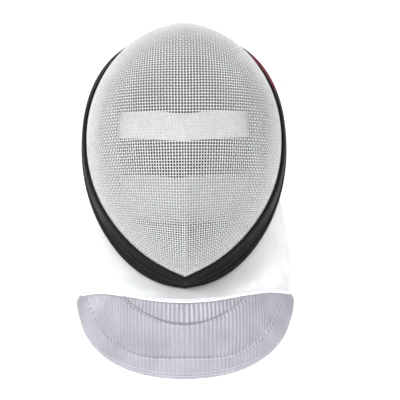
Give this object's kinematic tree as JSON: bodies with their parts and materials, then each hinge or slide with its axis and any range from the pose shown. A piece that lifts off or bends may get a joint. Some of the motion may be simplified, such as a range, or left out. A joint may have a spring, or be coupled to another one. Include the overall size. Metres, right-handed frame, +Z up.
{
  "type": "fencing mask",
  "caption": "Domed wire-mesh face guard for foil fencing, with black edge trim, padded lining, rear tongue and strap, and a white throat bib ending in ribbed grey conductive cloth.",
  "frame": {"origin": "the underside of the head lining where the crown of the head meets it, on the mask's middle plane", "axes": "+Z up, -Y the way the face looks, +X to the left of the wearer (the viewer's right from the front)"},
  "size_m": [0.2358, 0.2933, 0.3693],
  "materials": {
    "wire": "white enamelled steel wire",
    "trim": "black semi-matt edge trim with sewn edge",
    "black_cloth": "black padded cloth and elastic",
    "white_cloth": "white woven cloth",
    "lame": "silver-grey ribbed conductive cloth",
    "red_cloth": "red fabric tab"
  },
  "bodies": {
    "root": {"wire_mesh": "wire", "edge_trim": "trim", "head_lining": "black_cloth", "side_tab": "red_cloth", "brow_pad": "white_cloth", "chin_pad": "white_cloth", "rear_tongue": "black_cloth", "head_strap": "black_cloth", "bib_upper": "white_cloth", "bib_lower": "lame"}
  },
  "joints": []
}
